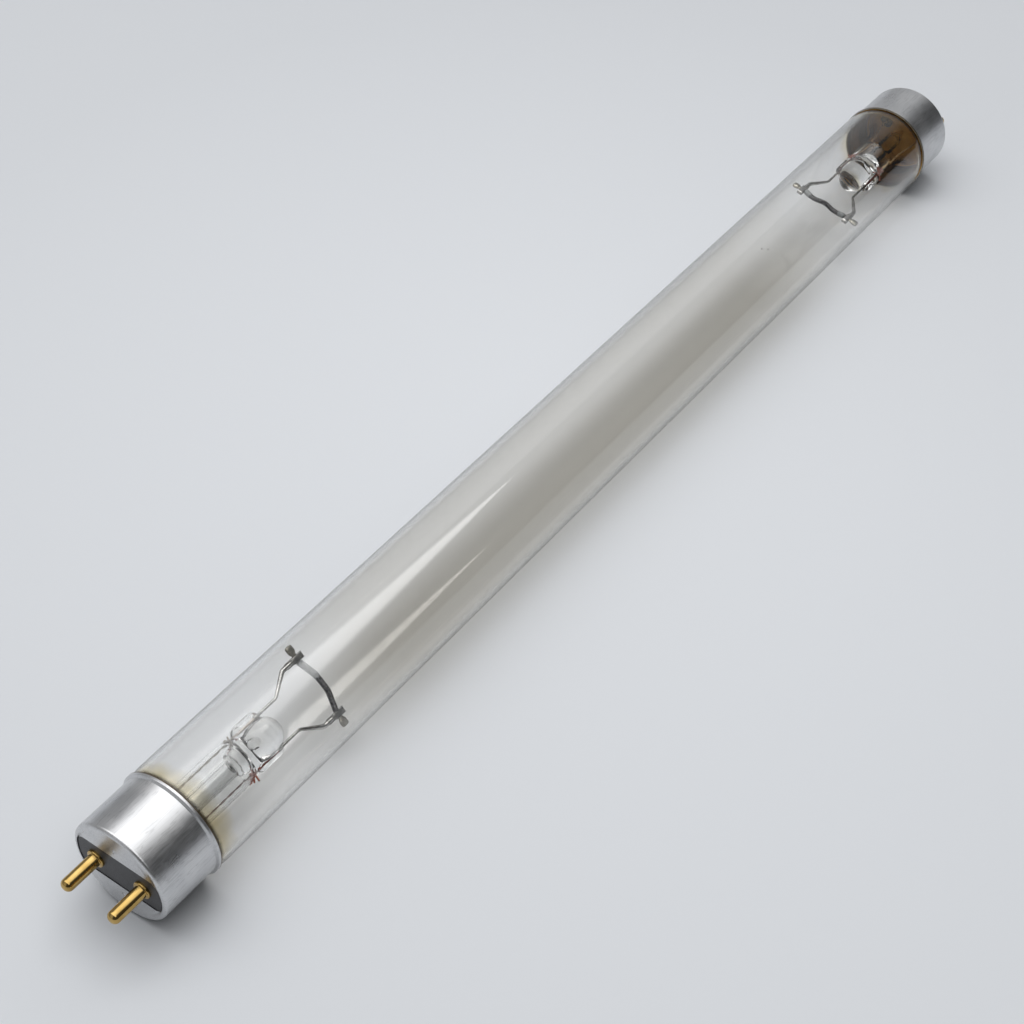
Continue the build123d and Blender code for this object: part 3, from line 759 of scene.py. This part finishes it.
def outerLeadWire(end, side, across):
    o = outerLead
    depth = lampEnds[end]["cathodeDepth"]
    toMount = mountSpace(end).inverted() @ endSpace(end)
    start = toMount @ Vector((across * pin["spacing"] / 2, 0, 0))
    place = Vector((across * stem["wireSpan"] / 2, 0, 0))
    knot = depth - o["knotDrop"]
    route = [start + Vector((0, 0, o["startDepth"])), start + Vector((0, 0, o["turnDepth"])),
             place + Vector((0, 0, o["entryDepth"])), place + Vector((0, 0, knot))]
    bm = bmesh.new()
    total = routeLength(route)
    for phase in (0, math.pi):  # two strands twisted together
        points = []
        for k in range(o["steps"] + 1):
            turn = phase + 2 * math.pi * total * k / o["steps"] / o["twist"]
            swing = Vector((math.cos(turn), math.sin(turn), 0)) * o["radius"] * o["twistShare"]
            points.append(alongRoute(route, k / o["steps"]) + swing)
        joinInto(bm, wireMesh(points, o["radius"], sides=2))
    leadFaces = len(bm.faces)
    # the near A lead and its strands are painted pale grey, a painted highlight
    paintedHighlight = f"{end}_{side}" in o["paintedHighlight"]
    pick = random.Random(end + side)
    for k in range(o["strands"]):  # splayed ends of the strands, round the knot
        aim = Vector((pick.uniform(-0.7, 1.0) * across, pick.uniform(-1, 1), pick.uniform(-1.5, 0.6)))
        reach = pick.uniform(*o["strandReach"]) * (o["highlightLeadShare"] if paintedHighlight else 1.0)
        base = place + Vector((0, 0, knot - o["knotLength"]))
        bend = aim.normalized() * reach
        points = [base, base + bend * 0.5 + Vector((0, 0, pick.uniform(-0.2, 0.2))), base + bend]
        for p in points:
            if p.xy.length > o["strandLimit"]:
                p.xy = p.xy.normalized() * o["strandLimit"]
        joinInto(bm, wireMesh(points, o["strandRadius"], sides=2))
    for k, face in enumerate(bm.faces):
        face.material_index = 0 if k < leadFaces else 1
    # the far leads take the painted-light copy of the copper lead
    finish = [paintedHighlightStrand, paintedHighlightStrand] if paintedHighlight else [darkCopper if end == "near" else paintedLightLead, copper]
    putPiece(f"{end}OuterLead{side.upper()}", bm, mountSpace(end), finish,
             [f"{end}_outer_lead_{side}"])


def sealedWire(end, side, across):
    depth = lampEnds[end]["cathodeDepth"]
    place = across * stem["wireSpan"] / 2
    low, high = depth - outerLead["knotDrop"], depth - sealWire["weldDrop"]
    bm = wireMesh([(place, 0, low), (place, 0.02, (low + high) / 2), (place, 0, high)], sealWire["radius"])
    # the near A wire gets the painted highlight copy
    finish = paintedHighlightSeal if f"{end}_{side}" in outerLead["paintedHighlight"] else dumet
    putPiece(f"{end}SealWire{side.upper()}", bm, mountSpace(end), finish,
             [f"{end}_seal_wire_{side}"])


def leadFold(e, place, depth):
    # Flattened end: a strip that runs up, turns over the coil and comes back down
    t, gap = e["bladeThickness"], e["coilOffset"]
    bm = bmesh.new()
    low, high = depth - e["bendOutDrop"] + e["bladeStart"], depth + e["tipReach"]
    line = [(0, low), (0, low + e["bladeTaper"]), (0, high), (2 * gap, high),
            (2 * gap, depth - e["flapDrop"])]
    verts = [bm.verts.new((place - e["bladeWidth"] / 2, y, z)) for y, z in line]
    for pair in zip(verts, verts[1:]):
        bm.edges.new(pair)
    bmesh.ops.bevel(bm, geom=[verts[2], verts[3]], offset=gap * 0.98, offset_type="OFFSET", affect="VERTICES",
                    segments=6, profile=0.5, material=-1)
    grown = bmesh.ops.extrude_edge_only(bm, edges=bm.edges[:])
    new = [g for g in grown["geom"] if isinstance(g, bmesh.types.BMVert)]
    bmesh.ops.translate(bm, vec=(e["bladeWidth"], 0, 0), verts=new)
    for v in bm.verts:  # narrows into the round wire
        if v.co.z < low + 0.1 and v.co.y < gap:
            v.co.x = place + (v.co.x - place) * e["taperShare"]
    bmesh.ops.recalc_face_normals(bm, faces=bm.faces[:])
    bmesh.ops.translate(bm, vec=(0, -t / 2, 0), verts=bm.verts[:])
    bmesh.ops.solidify(bm, geom=bm.faces[:], thickness=t)
    bmesh.ops.recalc_face_normals(bm, faces=bm.faces[:])
    sharp = [edge for edge in bm.edges if len(edge.link_faces) == 2 and edge.calc_face_angle() > 0.9]
    bmesh.ops.bevel(bm, geom=sharp, offset=e["bladeEdge"], offset_type="OFFSET", affect="EDGES", segments=2,
                    profile=0.5, material=-1)
    return bm


def nickelLead(end, side, across):
    e = electrodeLead
    depth = lampEnds[end]["cathodeDepth"]
    wirePlace, foldPlace = across * stem["wireSpan"] / 2, across * e["spread"] / 2
    corners = [(wirePlace, 0, depth - sealWire["weldDrop"]), (wirePlace, 0, depth - e["bendInDrop"]),
               (foldPlace, 0, depth - e["bendOutDrop"]), (foldPlace, 0, depth - e["flapDrop"])]
    bm = wireMesh(bentPath(corners, e["bend"]), e["radius"], swell=e["swell"])
    joinInto(bm, leadFold(e, foldPlace, depth))
    putPiece(f"{end}ElectrodeLead{side.upper()}", bm, mountSpace(end), nickel,
             [f"{end}_electrode_lead_{side}"])


for end in lampEnds:
    for side, across in (("a", 1), ("b", -1)):
        outerLeadWire(end, side, across)
        sealedWire(end, side, across)
        nickelLead(end, side, across)
print("wires ready")

# Cathode: a fine coil between its two tails, with pale paste on part of it
cathode = {"radius": 0.76, "wire": 0.12, "pitch": 0.3, "core": 0.72, "easing": 0.06, "leadGap": 0.1,
           "tail": 1.0, "tailFlat": 0.45, "tailReach": 2.5, "tailShares": [0, 0.3, 0.5, 0.6, 0.92, 0.98, 1.0],
           "tailSwell": [0.5, 0.5, 0.7, 1.0, 1.0, 0.85, 0.4], "pasteOver": 1.03,
           "paste": {"near": [(0.62, 1.0)], "far": [(0.02, 0.16), (0.84, 0.97)]}}


def cathodeCoil(end):
    c, e = cathode, electrodeLead
    depth, sags = lampEnds[end]["cathodeDepth"], lampEnds[end]["sags"]
    coilEnd = e["spread"] / 2 - e["bladeWidth"] / 2 - c["leadGap"]
    tailEnd = e["spread"] / 2 + e["bladeWidth"] / 2 + c["tailReach"]
    count = len(sags) + 1
    route = [Vector((coilEnd * (2 * k / count - 1), e["coilOffset"], depth + sag))
             for k, sag in enumerate([0, *sags, 0])]
    steps = int(routeLength(route) / c["pitch"]) * 8  # eight to a turn
    ease = c["easing"]
    points = []
    for k in range(steps + 1):
        share = k / steps
        spot = alongRoute(route, share)
        if ease < share < 1 - ease:  # rounds the corners of the route
            spot = (alongRoute(route, share - ease) + alongRoute(route, share + ease) + spot) / 3
        turn = 2 * math.pi * k / 8
        points.append(spot + Vector((0, math.cos(turn), math.sin(turn))) * (c["radius"] - c["wire"]))
    bm = wireMesh(points, c["wire"], sides=1)
    joinInto(bm, wireMesh([alongRoute(route, k / 12) for k in range(13)], c["radius"] * c["core"], sides=3))
    coilFaces = len(bm.faces)
    for sign in (1, -1):
        reach = [coilEnd + (tailEnd - coilEnd) * share for share in c["tailShares"]]
        tab = wireMesh([(sign * x, 0, depth) for x in reach], c["tail"], sides=5, swell=c["tailSwell"])
        bmesh.ops.scale(tab, vec=(1, c["tailFlat"], 1), verts=tab.verts[:])
        bmesh.ops.translate(tab, vec=(0, e["coilOffset"], 0), verts=tab.verts[:])
        joinInto(bm, tab)
    for k, face in enumerate(bm.faces):
        face.material_index = 0 if k < coilFaces else 1
    putPiece(f"{end}Cathode", bm, mountSpace(end), [tungsten, tabMetal],
             [f"{end}_cathode"], 60.0)
    sleeve = bmesh.new()
    for low, high in c["paste"][end]:
        points = [alongRoute(route, low + (high - low) * k / 8) for k in range(9)]
        joinInto(sleeve, wireMesh(points, c["radius"] * c["pasteOver"], sides=5))
    putPiece(f"{end}CathodePaste", sleeve, mountSpace(end), paste, (), 60.0)


for end in lampEnds:
    cathodeCoil(end)
print("cathodes ready")

# Mercury drops that cling to the inside of the glass
mercury = {"radius": 0.25, "flat": 0.75, "places": [(96.4, -42.3), (98.4, -48.9)]}


def mercuryDrops():
    bm = bmesh.new()
    bore = tube["radius"] - tube["wall"]
    for along, angle in mercury["places"]:
        ball = bmesh.ops.create_uvsphere(bm, u_segments=24, v_segments=12, radius=mercury["radius"])
        turn = Matrix.Rotation(math.radians(angle), 4, "X")
        seat = Matrix.Translation((along, 0, 0)) @ turn @ Matrix.Translation((0, bore - mercury["radius"], 0))
        for v in ball["verts"]:
            v.co.y = min(v.co.y, mercury["radius"] * mercury["flat"])
        bmesh.ops.transform(bm, matrix=Matrix.Scale(mm, 4) @ seat, verts=ball["verts"])
    putPiece("mercuryDrops", bm, Matrix.Identity(4), mercuryMetal, ["mercury_drops"])


mercuryDrops()
print("mercury ready")

# Floor, light and camera, in metres
studio = {"floorDrop": 0.01315, "floorSize": 6.0, "floorColour": (0.845, 0.868, 0.902),
          "floorEdge": (0.754, 0.775, 0.806), "paintedPoolMiddle": (0.02, 0.02, 0), "paintedPoolFade": 0.2,
          "softbox": (1.26, 2.2), "softboxPlace": (0.03, 0.085, 0.95), "softboxPower": 30.3,
          "softboxTip": (0.635, 0.085), "softboxFan": (1.14, 0.64), "softboxBack": (-0.6, -0.5),
          "softboxBright": (0.26, 0.42), "softboxDim": 0.45,
          "sides": [(0.34, 0.07), (0.55, 0.53), (0.70, 0.50), (0.90, 0.31)], "sideTint": (0.985, 1.0, 1.02),
          "wall": (0.60, 0.62, 0.65)}
camera = {"place": (-0.2986, -0.19329, 0.31506), "pitch": 44.20, "yaw": 53.85, "lens": 67.38}


def shapeSoftbox(light):
    # Strongest along its middle line, it narrows to a point beyond the far end, fades towards its sides
    # and is dimmer over the lamp than near the point
    light.use_nodes = True
    nodes, links = light.node_tree.nodes, light.node_tree.links

    def maths(operation, a, b=None):
        node = nodes.new("ShaderNodeMath")
        node.operation = operation
        for value, socket in zip((a, b), node.inputs):
            if isinstance(value, (int, float)):
                socket.default_value = value
            elif value is not None:
                links.new(value, socket)
        return node.outputs[0]

    def fade(value, low, high, least=0.0):
        node = nodes.new("ShaderNodeMapRange")
        node.interpolation_type = "SMOOTHSTEP"
        node.inputs["To Min"].default_value = least
        node.inputs["From Min"].default_value, node.inputs["From Max"].default_value = low, high
        links.new(value, node.inputs["Value"])
        return node.outputs["Result"]

    spot = nodes.new("ShaderNodeSeparateXYZ")
    links.new(nodes.new("ShaderNodeNewGeometry").outputs["Position"], spot.inputs[0])
    x, y = studio["softboxTip"]
    aside = maths("ABSOLUTE", maths("SUBTRACT", spot.outputs["Y"], y))
    fan = maths("ARCTAN2", aside, maths("SUBTRACT", x, spot.outputs["X"]))
    back = fade(spot.outputs["X"], *studio["softboxBack"])
    bright = fade(spot.outputs["X"], *studio["softboxBright"], studio["softboxDim"])
    level = maths("MULTIPLY", maths("MULTIPLY", fade(fan, *studio["softboxFan"]), back), bright)
    links.new(level, nodes["Emission"].inputs["Strength"])


def paleFloor():
    bm = bmesh.new()
    bmesh.ops.create_grid(bm, x_segments=1, y_segments=1, size=studio["floorSize"])
    bmesh.ops.translate(bm, vec=(0, 0, -studio["floorDrop"]), verts=bm.verts[:])
    floor = meshToObject("floor", bm)
    s = Shade("paleFloor")
    s.set(Roughness=0.6)
    # painted light: the floor colour is paler near the middle of the lamp and fades to floorEdge, a painted
    # pool of light
    away = s.nodes.new("ShaderNodeVectorMath")
    away.operation = "DISTANCE"
    s.link(s.place, away.inputs[0])
    away.inputs[1].default_value = studio["paintedPoolMiddle"]
    fade = s.spread(away.outputs["Value"], 0.0, 1.0, 0.0, studio["paintedPoolFade"])
    s.link(s.mixColour(fade, studio["floorColour"], studio["floorEdge"]), s.shader.inputs["Base Color"])
    floor.data.materials.append(s.material)


def softLight():
    light = bpy.data.lights.new("softbox", "AREA")
    light.shape = "RECTANGLE"
    light.size, light.size_y = studio["softbox"]
    light.energy = studio["softboxPower"]
    shapeSoftbox(light)
    lamp = bpy.data.objects.new("softbox", light)
    lamp.location = studio["softboxPlace"]
    scene.collection.objects.link(lamp)


def studioRoom():
    world = bpy.data.worlds.new("studio")
    world.use_nodes = True
    nodes, links = world.node_tree.nodes, world.node_tree.links
    aim = nodes.new("ShaderNodeSeparateXYZ")
    links.new(nodes.new("ShaderNodeTexCoord").outputs["Generated"], aim.inputs[0])
    turn = nodes.new("ShaderNodeMapRange")
    turn.inputs["From Min"].default_value = -1.0
    links.new(aim.outputs["Y"], turn.inputs["Value"])
    room = nodes.new("ShaderNodeValToRGB")  # dark on the right of the lamp and pale on its left
    room.color_ramp.interpolation = "EASE"
    for spot, _ in studio["sides"][2:]:
        room.color_ramp.elements.new(spot)
    for element, (spot, level) in zip(room.color_ramp.elements, studio["sides"]):
        element.position = spot
        element.color = (*(level * share for share in studio["sideTint"]), 1)
    links.new(turn.outputs["Result"], room.inputs["Fac"])
    seen = nodes.new("ShaderNodeMix")  # beyond the floor other views see a plain pale wall
    seen.data_type = "RGBA"
    links.new(nodes.new("ShaderNodeLightPath").outputs["Is Camera Ray"], seen.inputs["Factor"])
    links.new(room.outputs["Color"], seen.inputs["A"])
    seen.inputs["B"].default_value = (*studio["wall"], 1)
    links.new(next(s for s in seen.outputs if s.type == "RGBA"), nodes["Background"].inputs["Color"])
    scene.world = world


def frontCamera():
    eye = bpy.data.cameras.new("camera")
    eye.lens = camera["lens"]
    eye.sensor_width = 36.0
    eye.clip_start = 0.01
    view = bpy.data.objects.new("camera", eye)
    view.location = camera["place"]
    view.rotation_euler = (math.radians(90 - camera["pitch"]), 0, math.radians(-camera["yaw"]))
    scene.collection.objects.link(view)
    scene.camera = view


paleFloor()
softLight()
studioRoom()
frontCamera()
scene.view_settings.view_transform = "Standard"
scene.cycles.caustics_refractive = False  # the glass material already tints its own shadow
scene.cycles.caustics_reflective = False
print("studio ready")
